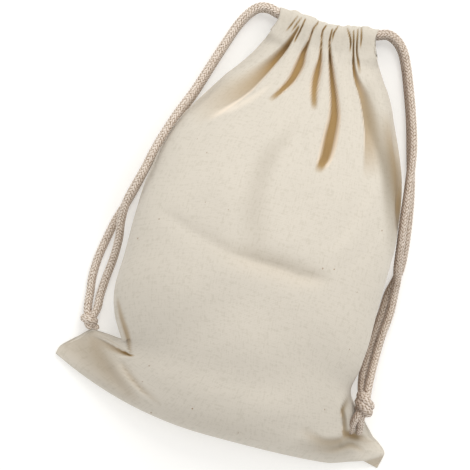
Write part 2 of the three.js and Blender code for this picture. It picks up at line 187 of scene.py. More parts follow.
def smooth_route(stops, spacing):
    """A smooth curve through the stops in even steps.

    It is the cubic between each two stops whose slopes come from the square roots of the distances
    to their neighbours, and its points are then spaced evenly by the length along it.
    """
    p = np.array(stops, float)
    p = np.vstack([2 * p[0] - p[1], p, 2 * p[-1] - p[-2]])
    gap = np.linalg.norm(np.diff(p, axis=0), axis=1, keepdims=True) ** 0.5
    before, here, after = gap[:-2], gap[1:-1], gap[2:]
    p0, p1, p2, p3 = p[:-3], p[1:-2], p[2:-1], p[3:]
    start = here * ((p1 - p0) / before - (p2 - p0) / (before + here) + (p2 - p1) / here)
    end = here * ((p2 - p1) / here - (p3 - p1) / (here + after) + (p3 - p2) / after)
    t = np.linspace(0, 1, FINE_STEPS, endpoint=False)[None, :, None]
    fine = cubic(*(q[:, None, :] for q in (p1, p2, start, end)), t)
    fine = np.vstack([fine.reshape(-1, 3), p[-2]])
    along = np.concatenate([[0], np.cumsum(np.linalg.norm(np.diff(fine, axis=0), axis=1))])
    steps = max(2, int(round(along[-1] / spacing)))
    even = np.linspace(0, along[-1], steps + 1)
    return np.stack([np.interp(even, along, fine[:, i]) for i in range(3)], axis=1)


# The braid has nine pairs of yarns, wound both ways round, each over two and under two. A "lay" is
# the length along the cord in which a yarn passes one ninth of the way round.
YARN_PAIRS = 9
BRAID_LAY = 2.5
BRAID_RELIEF = 0.55
YARN_END_HEIGHT = 0.45


def braid_height(turn, along):
    """How high the braid stands, from 0 to 1, at a share of a turn round the cord and a length along it.

    Both families of yarns are stripes that cross: their counts are a = pairs * turns + length / lay
    and b = pairs * turns - length / lay. Where the whole parts of a and b sum to 0 or 1 of every 4, the
    first family is on top. A yarn's height is a half circle across it, and a low arch along the
    stretch that shows.
    """
    a = YARN_PAIRS * turn + along / BRAID_LAY
    b = YARN_PAIRS * turn - along / BRAID_LAY
    first_on_top = np.mod(np.floor(a) + np.floor(b), 4) < 2
    across = np.where(first_on_top, np.mod(a, 1), np.mod(b, 1))
    stretch = np.where(first_on_top, np.mod(np.floor(a) + b, 4) / 2, np.mod(a + np.floor(b), 4) / 2 - 1)
    across_arch = np.sqrt(np.clip(1 - (2 * across - 1) ** 2, 0, 1))
    along_arch = np.sin(np.pi * np.clip(stretch, 0, 1)) ** 0.6
    return across_arch * (YARN_END_HEIGHT + (1 - YARN_END_HEIGHT) * along_arch)


# How finely a tube is divided round and towards its ends, and the braid's height at their middles.
RING_POINTS = 48
CAP_STEPS = 5
CAP_HEIGHT = 0.3

# Painted shade on a strand: its lee, the side towards the bag and the ground, gets little light and is
# painted darker, and the right cord, which lies in the bag's shade, is painted darker as a whole. The lee
# is whole this far from the bag's middle.
LEE_LIMITS = (-0.6, 0.95)
LEE_FROM_MIDDLE = (45, 75)
GROUND_LEE = 0.3
RIGHT_CORD_SHADE = 0.14
RIGHT_CORD_LEE = 0.62
LEFT_CORD_LEE = 0.32


def braid_tube(route, radius, reference):
    """A closed tube of braid along a route of even steps: points, faces, braid heights and painted shade.

    Ring points lie at the route's point plus the radius times the cosine of the turn sideways and
    its sine towards the reference direction. The radius is lowered where the braid is low, and it
    closes at both ends like a quarter circle. The painted shade is a smooth step in how much each
    point faces the bag and, at less than a third, the ground, and fades where the strand is over the bag.
    """
    steps = len(route)
    tangent = np.gradient(route, axis=0)
    tangent /= np.linalg.norm(tangent, axis=1, keepdims=True)
    side = np.cross(tangent, np.broadcast_to(reference, route.shape))
    side /= np.linalg.norm(side, axis=1, keepdims=True)
    upward = np.cross(side, tangent)
    turn = np.arange(RING_POINTS) / RING_POINTS
    along = np.concatenate([[0], np.cumsum(np.linalg.norm(np.diff(route, axis=0), axis=1))])
    height = braid_height(turn[None, :], along[:, None])
    from_end = np.minimum(np.arange(steps), np.arange(steps)[::-1]) / CAP_STEPS
    rounding = np.sqrt(np.clip(1 - (1 - np.clip(from_end, 0, 1)) ** 2, 0.02, 1))
    reach = (np.broadcast_to(radius, steps)[:, None] - BRAID_RELIEF * (1 - height)) * rounding[:, None]
    angle = 2 * np.pi * turn[None, :, None]
    spokes = np.cos(angle) * side[:, None] + np.sin(angle) * upward[:, None]
    points = np.vstack([(route[:, None] + reach[..., None] * spokes).reshape(-1, 3), route[0], route[-1]])
    spot = np.arange(RING_POINTS)
    following = (spot + 1) % RING_POINTS
    ring = np.arange(steps - 1)[:, None] * RING_POINTS
    walls = np.stack([ring + spot, ring + following, ring + RING_POINTS + following,
                      ring + RING_POINTS + spot], axis=-1)
    last = (steps - 1) * RING_POINTS
    near_cap = np.stack([following, spot, np.full(RING_POINTS, len(points) - 2)], axis=1)
    far_cap = np.stack([last + spot, last + following, np.full(RING_POINTS, len(points) - 1)], axis=1)
    faces = [*walls.reshape(-1, 4).tolist(), *near_cap.tolist(), *far_cap.tolist()]
    # Painted shade: darker on each strand's lee, and on the right cord as a whole.
    x = route[:, None, 0]
    inwards = -np.sign(x) * spokes[..., 0] * ease(np.abs(x), *LEE_FROM_MIDDLE)
    lee = ease(inwards - GROUND_LEE * spokes[..., 2], *LEE_LIMITS)
    shade = np.where(x > 0, RIGHT_CORD_SHADE + RIGHT_CORD_LEE * lee, LEFT_CORD_LEE * lee)
    return points, faces, np.append(height, [CAP_HEIGHT] * 2), np.append(shade, [0, 0])


def mesh_piece(name, points, faces):
    """A smooth-shaded mesh at the origin, from points in millimetres with Y from the bottom fold."""
    mesh = bpy.data.meshes.new(name)
    placed = (np.asarray(points) - [0, BAG_LENGTH / 2, 0]) * MM
    mesh.from_pydata(placed, [], faces)
    mesh.shade_smooth()
    piece = bpy.data.objects.new(name, mesh)
    bpy.context.collection.objects.link(piece)
    return piece


def store(piece, attribute, values):
    """Keeps a value for each point of a piece's mesh, for its material to read."""
    stored = piece.data.attributes.new(attribute, "FLOAT", "POINT")
    stored.data.foreach_set("value", values.astype(np.float32))


def braid_piece(name, tubes):
    """One mesh of several tubes of braid, each given as a route, a radius and a reference."""
    made = [braid_tube(*tube) for tube in tubes]
    starts = np.cumsum([0] + [len(part[0]) for part in made])
    faces = [[corner + start for corner in face] for part, start in zip(made, starts) for face in part[1]]
    piece = mesh_piece(name, np.vstack([part[0] for part in made]), faces)
    for attribute, column in [("braid_height", 2), ("painted_cord_shade", 3)]:
        store(piece, attribute, np.concatenate([part[column] for part in made]))
    piece.data.materials.append(cord_finish)
    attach(piece, "root")
    return piece


# Cotton yarn, unbleached and softly twisted: matt, a little fuzzy, blotched at about 1 mm, with painted
# shade between the yarns and painted brown shade on the side away from the light. Its fuzz is 0.4 mm
# long.
# A colour mix has these sockets: the upper colour's share, both colours, and the result.
MIX_SHARE, MIX_BELOW, MIX_ABOVE, MIX_RESULT = 0, 6, 7, 2
cord_finish, tree, shader = material("braided_cotton", {
    "Roughness": 0.92, "Sheen Weight": 0.15, "Sheen Roughness": 0.6})
place = node(tree, "TexCoord").outputs["Object"]
stands = node(tree, "Attribute", {"attribute_name": "braid_height"}).outputs["Fac"]
blotches = node(tree, "TexNoise", inputs={"Scale": 900.0, "Detail": 3.0}, links={"Vector": place})
blotched = node(tree, "MapRange",
                inputs={"From Min": 0.3, "From Max": 0.7, "To Min": -0.26, "To Max": 0.22},
                links={"Value": blotches})
yarn_level = node(tree, "Math", {"operation": "ADD"}, links={0: stands, 1: blotched})
# Where the braid is low, between the yarns, the ramp paints shade in dark brown.
yarn_colour_and_gap_shade = node(tree, "ValToRGB", links={"Fac": yarn_level})
yarn_colour_and_gap_shade.color_ramp.elements[0].position = 0.1
yarn_colour_and_gap_shade.color_ramp.elements[0].color = linear("42301f")
yarn_colour_and_gap_shade.color_ramp.elements[1].position = 0.8
yarn_colour_and_gap_shade.color_ramp.elements[1].color = linear("e8ddd2")
yarn_colour_and_gap_shade.color_ramp.elements.new(0.42).color = linear("ab957f")
# Painted shade: the lee of each strand is multiplied with brown.
painted_cord_shade_share = node(tree, "Attribute", {"attribute_name": "painted_cord_shade"}).outputs["Fac"]
yarn_with_painted_shade = node(tree, "Mix", {"data_type": "RGBA", "blend_type": "MULTIPLY"},
                   {MIX_ABOVE: linear("8c7059")}, {MIX_SHARE: painted_cord_shade_share, MIX_BELOW: yarn_colour_and_gap_shade})
tree.links.new(yarn_with_painted_shade.outputs[MIX_RESULT], shader.inputs["Base Color"])
fibres = node(tree, "TexNoise", inputs={"Scale": 2600.0, "Detail": 4.0}, links={"Vector": place})
fuzz = node(tree, "Bump", inputs={"Strength": 0.5, "Distance": 0.0002}, links={"Height": fibres})
tree.links.new(fuzz.outputs["Normal"], shader.inputs["Normal"])

# Where each strand runs on into its knot.
INTO_LEFT_KNOT = {"cord_front": [[-104.2, 56, 8.6], [-102.6, 61.2, 8.6]],
                  "cord_back": [[-104.6, 56, 7.6], [-106.8, 61, 6.8]]}
INTO_RIGHT_KNOT = {"cord_front": [[98.4, 56.5, 24.4], [98.6, 51, 25.2]],
                   "cord_back": [[95.4, 56, 20.8], [97.4, 51, 24.2]]}
CORD_STEP = 0.6
STRAND_STEP = 0.7
CORD_RADIUS = CORD_DIAMETER / 2 + 0.1
UP = (0, 0, 1)
for name, left, right, level in [("cord_front", FRONT_LEFT, FRONT_RIGHT, CORD_LEVEL_IN_CASING[0]),
                                 ("cord_back", BACK_LEFT, BACK_RIGHT, CORD_LEVEL_IN_CASING[1])]:
    stops = [*INTO_LEFT_KNOT[name], *left, *casing_stops(level), *right, *INTO_RIGHT_KNOT[name]]
    route = smooth_route(stops, CORD_STEP)
    cord = braid_piece(name + "_braid", [(route, CORD_RADIUS, UP)])
    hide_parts(name)

# The knots: at each bottom corner both strands are tied together in one overhand knot. On the left
# its band lies across the strands above a short end, and on the right it turns round them more
# than twice, with two ends that go down into the side seam.
WRAP_RADIUS = 3.1
WRAP_STEPS = 60
ALONG_BAG = (0, 1, 0)


def wrap_route(centre, radius, turns, length, lean, start):
    """The middle of a wrap: a helix round a line along Y, from its upper end.

    Y falls evenly with the turns, and falls by the lean for each millimetre to the right.
    """
    share = np.linspace(0, 1, int(WRAP_STEPS * turns))
    angle = start + 2 * np.pi * turns * share
    x = radius * np.sin(angle)
    z = radius * np.cos(angle)
    y = length * (0.5 - share) - lean * x
    return smooth_route(np.array(centre) + np.stack([x, y, z], axis=1), CORD_STEP)


def strand(stops, first_radius, last_radius):
    """A strand through the stops whose radius goes evenly from the first to the last."""
    route = smooth_route(stops, STRAND_STEP)
    return route, np.linspace(first_radius, last_radius, len(route)), UP


left_wrap = wrap_route((-104.8, 57.2, 8.2), radius=3.6, turns=1.2, length=2.0, lean=-0.06,
                       start=math.radians(140))
knot_left = braid_piece("knot_left_braid", [
    (left_wrap, WRAP_RADIUS, ALONG_BAG),
    strand([[-104.8, 60.6, 8.2], [-104, 55.4, 8.4], [-102.2, 50.4, 8]], 5.0, 3.3),
    strand([[-102.4, 53.4, 6.6], [-99.2, 53.2, 6.2], [-96.4, 52.6, 5.6]], 2.7, 2.5),
])
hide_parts("knot_left")

right_wrap = wrap_route((98.4, 49.8, 25.0), radius=3.9, turns=2.1, length=9.6, lean=0.46,
                        start=math.radians(225))
knot_right = braid_piece("knot_right_braid", [
    (right_wrap, WRAP_RADIUS + 0.5, ALONG_BAG),
    strand([[98, 56, 24.6], [98.6, 49, 25], [98, 43.5, 25]], 4.0, 4.0),
    strand([[97.6, 46, 25.2], [95.4, 40.4, 24.4], [94.2, 34, 19], [94.8, 27.4, 10.5]], 2.9, 2.8),
    strand([[99.2, 46, 24.5], [98.8, 39.6, 21.4], [99.8, 34, 16.4], [100.6, 28, 11]], 2.9, 2.8),
])
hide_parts("knot_right")

# The bag's body: one piece of calico, plain-woven from unbleached cotton, folded at the bottom and
# sewn up both sides. Its top edge is folded in and stitched down as the casing, and the cord
# gathers it there into pleats.

# Each row is a cross-section. "up" is its place along the middle, then where it meets the left and
# right side seams, how high the seams and the crown stand, and the power of the curve between.
SECTION_COLUMNS = ["up", "left", "left_up", "right", "right_up", "seam", "crown", "shoulder"]
SECTIONS = np.array([
    [0, -121.8, 27.5, 120.2, 8.5, 2.5, 54, 2.4],
    [3.5, -120.3, 33, 121.5, 14.9, 3, 54.5, 2.35],
    [7, -115.6, 37.8, 122, 20.3, 3.5, 55, 2.3],
    [14, -108.6, 43.9, 117.1, 24.8, 4.1, 55.9, 2.27],
    [22, -101.6, 50.1, 110.8, 28.4, 5, 57, 2.2],
    [45, -85.5, 50, 100.4, 40.6, 10, 62, 1.6],
    [65, -78.4, 48.9, 87.3, 55.5, 17, 69, 1.1],
    [85, -87.5, 65.4, 89.3, 74, 24, 74, 0.85],
    [105, -92.5, 84, 90, 95, 28, 78, 0.78],
    [128, -92, 108, 90, 121, 30, 80, 0.75],
    [150, -91.9, 135, 90, 146, 30, 79, 0.75],
    [178, -90.5, 166, 89, 176, 28, 74, 0.75],
    [211, -82, 205, 83, 209, 25, 64, 0.75],
    [244, -61, 242, 69.2, 243, 21, 50, 0.75],
    [262, -46, 263, 59, 263, 18, 41, 0.7],
    [275, -37, 277, 50, 278, 17, 36, 0.65],
    [283, -33, 286, 43.2, 288, 16.5, 34, 0.55],
    [293, -30, 296, 39.2, 299, 16.5, 33, 0.5],
    [303, -31, 306, 40, 309, 16.5, 33, 0.5],
])
# The cloth is drawn 0.9 mm thick for a real 0.4 mm, and was cut to this width and length.
CLOTH = 0.9
CLOTH_WIDTH = 250.0
# The casing, the height at which its ends stand open, and the slit in each side seam below it.
CASING_WIDTH = 20.0
CASING_END_HEIGHT = 31.2
SLIT_LENGTH = 27.0
STITCH_LINE = CASING_TOP - CASING_WIDTH
SLIT_FOOT = CASING_TOP - SLIT_LENGTH
# The cloth turns round over this length at the bottom fold, which stands higher in the middle than
# at its corners. The power of its curve in the plan differs between the corners and the neck.
BOTTOM_ROUNDING = 37.0
BOTTOM_FOLD_RISE = 11.0
CORNER_RISE = 2.5
LEFT_CORNER_BOW, RIGHT_CORNER_BOW = 2.1, 3.5
BODY_BOW, NECK_BOW = 4, 2
CORNER_BOW_END = 60
NECK_BOW_START = 240
# How wide the back lies flat on the surface: above 1 it reaches it before the middle.
UNDERSIDE_SPREAD = 1.35
UNDERSIDE_POWER = 0.8

# How much further up the bottom fold's right end lies than the curve of its section, at places
# across, fading out above it.
CORNER_KICK_AT = [80, 87, 99, 108.8, 119.8]
CORNER_KICK = [0, 0.3, 2.8, 4.5, -0.6]
CORNER_KICK_REACH = 16

# The casing in section, from the stitch line over the outside, round the cord and back inside:
# how far each point lies above the stitch line and how far it stands out from it.
CASING_SECTION = np.array([
    [0, 0], [5, 0.9], [10, 0.8], [14.6, -0.3], [18.4, -2.9], [20, -6.4],
    [18.4, -10], [14.6, -11.6], [10, -10], [5, -6], [1, -2.4],
])


def curve_through(at, values, place):
    """The smooth curve through the values that stand at rising positions, at any place.

    It is the cubic between two neighbours whose slope at each value is the rise from the value
    before it to the one after it over the distance between those two.
    """
    last = len(at) - 1
    before, after = np.maximum(np.arange(last + 1) - 1, 0), np.minimum(np.arange(last + 1) + 1, last)
    slope = (values[after] - values[before]) / (at[after] - at[before])
    i = np.clip(np.searchsorted(at, place) - 1, 0, last - 1)
    span = at[i + 1] - at[i]
    t = np.clip((place - at[i]) / span, 0, 1)
    return cubic(values[i], values[i + 1], slope[i] * span, slope[i + 1] * span, t)


def through(values, place):
    """The smooth curve through evenly numbered values, at a place counted in them."""
    return curve_through(np.arange(len(values)), values, place)


def section(column, up):
    """A column of the table of sections at a place along the bag, by the curve through its rows."""
    return curve_through(SECTIONS[:, 0], SECTIONS[:, SECTION_COLUMNS.index(column)], up)


def plan(across, up):
    """Where a point of the cloth lies in the plan.

    X goes evenly from the left to the right seam. Y is the place along the middle, and rises or
    falls to the seam's own place with a power of the distance across.
    """
    left, right = section("left", up), section("right", up)
    x = left + (right - left) * (1 + across) / 2
    lift = np.where(across < 0, section("left_up", up), section("right_up", up)) - up
    corner_bow = np.abs(across) ** np.where(across < 0, LEFT_CORNER_BOW, RIGHT_CORNER_BOW)
    bow = np.abs(across) ** (BODY_BOW + (NECK_BOW - BODY_BOW) * ease(up, CORNER_BOW_END, NECK_BOW_START))
    kick = np.interp(x, CORNER_KICK_AT, CORNER_KICK) * (1 - ease(up, 0, CORNER_KICK_REACH))
    return x, up + lift * (corner_bow + (bow - corner_bow) * ease(up, 0, CORNER_BOW_END)) + kick


def heights(across, up, turned):
    """The heights of the front and of the back.

    The front is the seam's height plus the rise to the crown times a power of a half circle, and
    the back falls from the seam to the surface. At the bottom fold both start at the fold line.
    """
    bulge = np.sqrt(np.clip(1 - across ** 2, 0, 1))
    seam, crown = section("seam", up), section("crown", up)
    apart = ease(up, SLIT_FOOT, STITCH_LINE)
    low_front = seam + (CASING_END_HEIGHT - seam) * apart
    front = low_front + (crown - low_front) * bulge ** section("shoulder", up)
    back = np.maximum(0, seam * (1 - apart) * (1 - UNDERSIDE_SPREAD * bulge ** UNDERSIDE_POWER))
    fold_line = CORNER_RISE + BOTTOM_FOLD_RISE * bulge ** 2
    return fold_line + (front - fold_line) * turned, fold_line + (back - fold_line) * turned


# The pleats and creases of the front, each a trough along a route in the plan. A row is a stop on
# the route: its place, how far the trough reaches to the left and to the right of it, its depth, and
# how strong the painted warm shade in its cloth is: tan at 1 and darker brown up to 2. On a route
# from right to left, left is the upper side. A ridge has a depth below zero. The three numbers before
# the rows say over which share of the reach the left and the right wall fall, where 1 is a soft
# trough, 0.4 a pocket with a flat floor and 0 a sharp crease, and how high the cloth rolls up beside it.
CREASES = {
    "left shoulder fold": (1, 0.6, 0.06, [
        [-15.2, 294, 1, 0.8, 1.2, 1.2], [-16.4, 288, 2.4, 1, 3.4, 1.5], [-19.8, 277, 4.6, 1.5, 6.4, 1.4],
        [-25, 266, 7, 2.2, 7.4, 1.05], [-31.6, 253.6, 11, 3, 7, 0.78], [-40.5, 241, 16, 5, 5.6, 0.58],
        [-55, 228.5, 20, 9, 3.4, 0.3], [-74, 214, 20, 14, 0, 0]]),
    "second slit": (0.7, 0.6, 0.1, [
        [-12, 300, 0.64, 0.56, 1, 1.25], [-13.2, 293, 0.8, 0.64, 2, 1.88],
        [-14.4, 287, 0.8, 0.72, 1.7, 1.62], [-15.4, 282, 0.9, 0.9, 0, 0]]),
    "left pleat": (0.6, 0.6, 0.12, [
        [-2.8, 300.8, 0.64, 0.64, 1.2, 1.25], [-4.9, 294.3, 0.8, 0.72, 2.4, 1.88],
        [-5.6, 286, 1.04, 0.88, 4.4, 1.88], [-6.8, 277.5, 3, 2.3, 5.6, 1.1],
        [-7.4, 268, 4.4, 3.7, 6.6, 1], [-10.2, 257, 3.4, 3.3, 6, 1.04], [-14.6, 248.6, 2.6, 2.6, 4.2, 1],
        [-18.4, 242.5, 2.4, 2.4, 2.2, 0.8], [-21.6, 238, 2.2, 2.2, 0, 0]]),
    "narrow pleat": (0.62, 0.66, 0.12, [
        [3.3, 299.8, 0.64, 0.64, 1.2, 1.25], [1.9, 295.5, 0.8, 0.64, 2.2, 1.88],
        [3.2, 287.4, 0.8, 0.72, 3.8, 1.75], [5.2, 277, 1.8, 1.7, 5.2, 1.1], [5.8, 268, 3.4, 3, 6.4, 1],
        [6.4, 259, 4, 3.2, 5, 1.02], [7.6, 251, 3.6, 3, 3.2, 0.98], [9.2, 244.5, 2.9, 2.6, 1.3, 0.85],
        [10.4, 239.5, 2.6, 2.4, 0, 0]]),
    "deep middle pleat": (0.58, 0.76, 0.12, [
        [8.1, 298, 0.72, 0.64, 1.2, 1.25], [8.5, 290.5, 0.88, 0.64, 2.8, 1.9],
        [10.6, 283, 1.2, 1, 5.4, 1.7], [14.8, 271, 2.2, 2.1, 7, 1.14], [18.8, 260.5, 3.2, 2.8, 7.6, 1.04],
        [22.6, 250, 4.2, 3.6, 8, 1.02], [25.6, 238, 5.4, 4.7, 8, 1.05], [26.2, 224, 6.2, 6.1, 7.6, 1.1],
        [26.2, 211, 5.4, 5.9, 6, 1.2], [24.6, 203.5, 4.2, 4.8, 2.8, 0.98], [23.4, 197.5, 3, 3, 0, 0]]),
    "right panel slit": (0.6, 0.6, 0.1, [
        [11.6, 301.9, 0.64, 0.56, 1, 1], [9.9, 296.3, 0.8, 0.56, 1.8, 1.5],
        [10.4, 290, 0.64, 0.56, 0, 0.3]]),
    "first left slit": (0.6, 0.6, 0.1, [
        [-17.7, 301, 0.64, 0.56, 1, 0.62], [-20.4, 294.1, 0.8, 0.64, 1.6, 1.38],
        [-23.2, 288, 0.64, 0.64, 0, 0]]),
    "second left slit": (0.6, 0.6, 0.1, [
        [-15, 300.4, 0.64, 0.56, 1, 0.62], [-17.2, 294.5, 0.8, 0.56, 1.6, 1.38],
        [-19.4, 288.5, 0.64, 0.64, 0, 0]]),
    "first right slit": (0.6, 0.6, 0.1, [
        [18.3, 301.9, 0.64, 0.56, 1, 0.62], [21.2, 297.3, 0.8, 0.64, 1.7, 1.5],
        [23.4, 291.7, 0.8, 0.64, 2, 1.75], [24, 286, 0.64, 0.56, 0, 0]]),
    "right pleat": (0.5, 0.95, 0.12, [
        [22.8, 301.5, 0.64, 0.56, 1.2, 1], [25.1, 293, 0.8, 0.64, 2.4, 1.75],
        [26.6, 287, 0.8, 0.8, 3.2, 1.6], [29.4, 277, 1.1, 1.8, 4.2, 1.15], [33.4, 268, 1.4, 4, 4.8, 0.9],
        [40.8, 256, 1.9, 8, 4.8, 0.76], [49.4, 237, 2.8, 13, 4, 0.66], [54.8, 219, 4, 15, 2, 0.42],
        [59, 203, 5, 14, 0, 0]]),
    "right end pleat": (0.6, 0.7, 0.1, [
        [25.6, 303, 0.64, 0.56, 1, 0.75], [27.4, 293.5, 0.8, 0.64, 2, 1.62],
        [29.4, 286, 0.8, 0.8, 2.6, 1.62], [31.8, 281, 1.2, 1.2, 2.2, 1], [34.6, 274, 1.2, 1.4, 0, 0.2]]),
    "right end slit": (0.6, 0.6, 0.1, [
        [27.6, 305, 0.64, 0.56, 1, 0.62], [29.6, 297, 0.8, 0.64, 1.6, 1.38],
        [30.6, 290, 0.64, 0.56, 0, 0]]),
    "right edge shade": (1, 1, 0, [
        [58, 254, 6, 6, 0, 0], [66, 236, 8, 9, 1.4, 0.5], [74, 219, 9, 10, 2.2, 0.75],
        [83, 198, 8, 12, 2.8, 0.95], [88, 184, 7, 12, 2, 0.8], [88.5, 170, 5, 4, 0, 0]]),
    "shoulder ridge": (1, 1, 0, [
        [-27, 246, 4.5, 4.5, 0, 0], [-32.5, 238, 5.5, 5.5, -1.8, 0], [-41, 228, 6.4, 6.4, -2.2, 0],
        [-52, 218, 6.4, 6.4, -1.1, 0], [-62, 210, 6.4, 6.4, 0, 0]]),
    "middle crease": (0, 0, 0, [
        [54, 127.6, 8, 8, 0, 0], [47.5, 127.4, 12, 12, 1.2, 0.05], [37.8, 127.2, 16, 16, 2.4, 0.1],
        [28.2, 126.4, 18, 18, 2.9, 0.1], [15.2, 127.8, 20, 20, 3.1, 0.12], [7.3, 128, 20, 20, 3.1, 0.12],
        [-7.4, 128.2, 20, 20, 2.8, 0.1], [-23.9, 130, 18, 18, 1.7, 0.05], [-47.1, 136.1, 16, 16, 1.5, 0],
        [-58.7, 139.6, 15, 15, 1.4, 0], [-71, 143.4, 12, 12, 0.9, 0], [-82, 148, 10, 10, 0, 0]]),
    "right turn": (1, 1, 0, [
        [72, 215, 9, 14, 0, 0], [66, 192, 9, 15, -1.8, 0], [61, 169, 9, 15, -2.4, 0],
        [55.5, 154, 9, 14, -2, 0], [48, 140, 9, 12, 0, 0]]),
    "ear seam band": (0.8, 0.8, 0, [
        [-106, 45.6, 1.8, 1.8, 0, 0], [-100, 48.2, 2.2, 2.2, -0.8, 0], [-92, 47.6, 2.4, 2.4, -1.1, 0],
        [-84, 45.9, 2.4, 2.4, -1.1, 0], [-77, 44.4, 2.2, 2.2, -1, 0], [-71, 42.8, 1.8, 1.8, 0, 0]]),
    "band groove": (1, 1, 0, [
        [-101, 47.8, 0.6, 0.6, 0, 0.1], [-92, 47.6, 0.7, 0.7, 0.5, 0.2], [-80, 45.4, 0.7, 0.7, 0.5, 0.2],
        [-73, 43.2, 0.6, 0.6, 0, 0.1]]),
    "ear fold": (0.5, 1, 0, [
        [-67.8, 41.2, 0.7, 0.7, 0, 0.6], [-69.6, 41.1, 0.9, 1.2, 2.6, 1.5], [-73, 41.3, 1.2, 2, 4, 1.2],
        [-79, 42.2, 1.3, 3.6, 3.2, 0.7], [-85, 43.4, 1.3, 5, 2.4, 0.5], [-91.5, 44.6, 1.3, 6, 1.6, 0.35],
        [-98, 45.6, 1.3, 7, 0.3, 0.1]]),
    "ear hollow": (1, 1, 0, [
        [-100, 46, 5, 5, 0, 0.2], [-95.1, 39.3, 7, 7, 1.2, 0.32], [-86.4, 29.4, 9, 9, 1.8, 0.32],
        [-74.3, 21.6, 7, 8, 1.6, 0.34], [-63.2, 14.7, 7, 6, 1.2, 0.28], [-52, 9.5, 5, 5, 0, 0]]),
    "shade on the ear": (1, 1, 0, [
        [-126, 36, 16, 14, 0, 0.15], [-108, 34, 18, 20, 0, 0.26], [-92, 28, 18, 24, 0, 0.26],
        [-74, 18, 14, 20, 0, 0.2], [-52, 8, 12, 14, 0, 0]]),
    "corner ridge": (1, 1, 0, [
        [-67, 40.8, 2.4, 3, -0.4, 0], [-72, 39.2, 3.6, 3.6, -1.4, 0], [-76.6, 36.6, 5, 5, -2, 0],
        [-79, 32.8, 6, 6, -2.2, 0], [-75.4, 27.6, 6, 6, -2, 0], [-69.1, 22.9, 6, 6, -1.8, 0],
        [-62.7, 18.7, 6, 6, -1.5, 0], [-53.9, 13.6, 6, 6, -1, 0], [-45.5, 9.9, 6, 6, 0, 0]]),
    "corner valley": (0, 0, 0, [
        [-74.5, 35.4, 2, 2, 0.4, 0.05], [-71.6, 31.6, 2.6, 4, 1.6, 0.3], [-65.6, 26.4, 2.8, 5, 2.4, 0.45],
        [-56.8, 20.6, 2.8, 5, 2.4, 0.5], [-47.4, 16.4, 2.8, 5, 1.4, 0.3], [-39, 13, 3, 4, 0, 0]]),
    "flank strip": (0.7, 0.8, 0.05, [
        [-88.6, 79, 1, 1.6, 0, 0], [-87.2, 73.7, 1.4, 3, 1, 0.4], [-82.2, 63.8, 1.5, 4.4, 1.6, 0.6],
        [-76, 53.7, 1.5, 4.4, 1.8, 0.7], [-71.4, 45.4, 1.2, 2, 1.2, 0.5],
        [-69.6, 42.4, 0.8, 0.9, 0, 0.3]]),
    "right pocket edge": (0.6, 1, 0.1, [
        [86.6, 53, 1.4, 2, 0, 0], [84.8, 46.2, 1.6, 3, 2.2, 0.5], [84.2, 41.7, 1.6, 3, 3.4, 0.8],
        [87.2, 36.1, 1.5, 2.6, 3, 0.5], [89, 30.3, 1.6, 3.2, 3, 0.6], [90.4, 25.6, 1.8, 3.6, 1.6, 0.6],
        [93, 22.6, 1.6, 2, 0, 0.2]]),
    "pocket of the cord ends": (1, 0.8, 0.2, [
        [110, 25, 2, 2, 0, 0.1], [104.6, 26, 3.4, 3, 2, 0.3], [98.6, 26, 4.6, 3.8, 4.2, 0.95],
        [93, 26.6, 4.6, 3.6, 3.4, 0.9], [89.4, 28, 2, 2.4, 0, 0.35]]),
    "upper corner shade": (1, 1, 0, [
        [58, 23.4, 5, 5, 0, 0], [68, 19.6, 6, 5, 1.2, 0.25], [78, 17.8, 6, 4, 2.2, 0.4],
        [87, 20.4, 4, 3, 2.2, 0.4], [91, 24.6, 2, 2, 0, 0.3]]),
    "lower corner shade": (1, 1, 0, [
        [70, 11, 4, 4, 0, 0], [79, 11.8, 4, 4, 1.2, 0.25], [86, 13.3, 4, 4, 2, 0.4],
        [92, 17, 3.6, 3, 2.4, 0.4], [97, 19.6, 3.6, 3, 2.4, 0.5], [103, 18.6, 3.6, 3, 1.8, 0.35],
        [110, 15.6, 3, 3, 0, 0]]),
}
